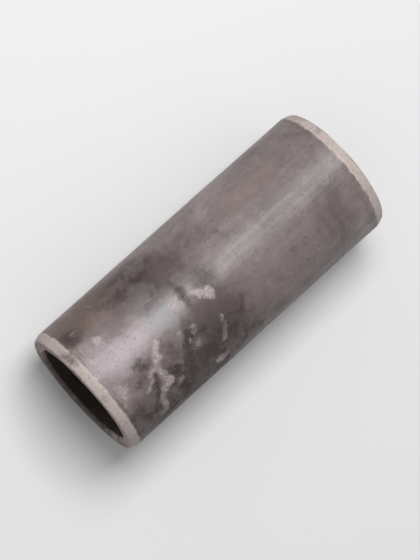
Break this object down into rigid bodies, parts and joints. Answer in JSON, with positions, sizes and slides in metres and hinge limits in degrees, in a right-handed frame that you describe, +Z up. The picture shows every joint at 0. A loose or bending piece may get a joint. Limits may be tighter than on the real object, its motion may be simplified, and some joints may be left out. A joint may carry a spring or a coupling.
{
  "type": "clay drain pipe",
  "caption": "Straight plain-ended clay drain pipe with a through bore, a thick wall and bevelled, lightly rounded rims.",
  "frame": {"origin": "under the middle of the pipe, on the floor line it lies along", "axes": "+X along the pipe's axis, from the mouth that the picture shows towards the end it hides; +Z up; +Y across the pipe"},
  "size_m": [0.3, 0.125, 0.125],
  "materials": {
    "fired_clay": "satin"
  },
  "bodies": {
    "root": {"pipe": "fired_clay"}
  },
  "joints": []
}
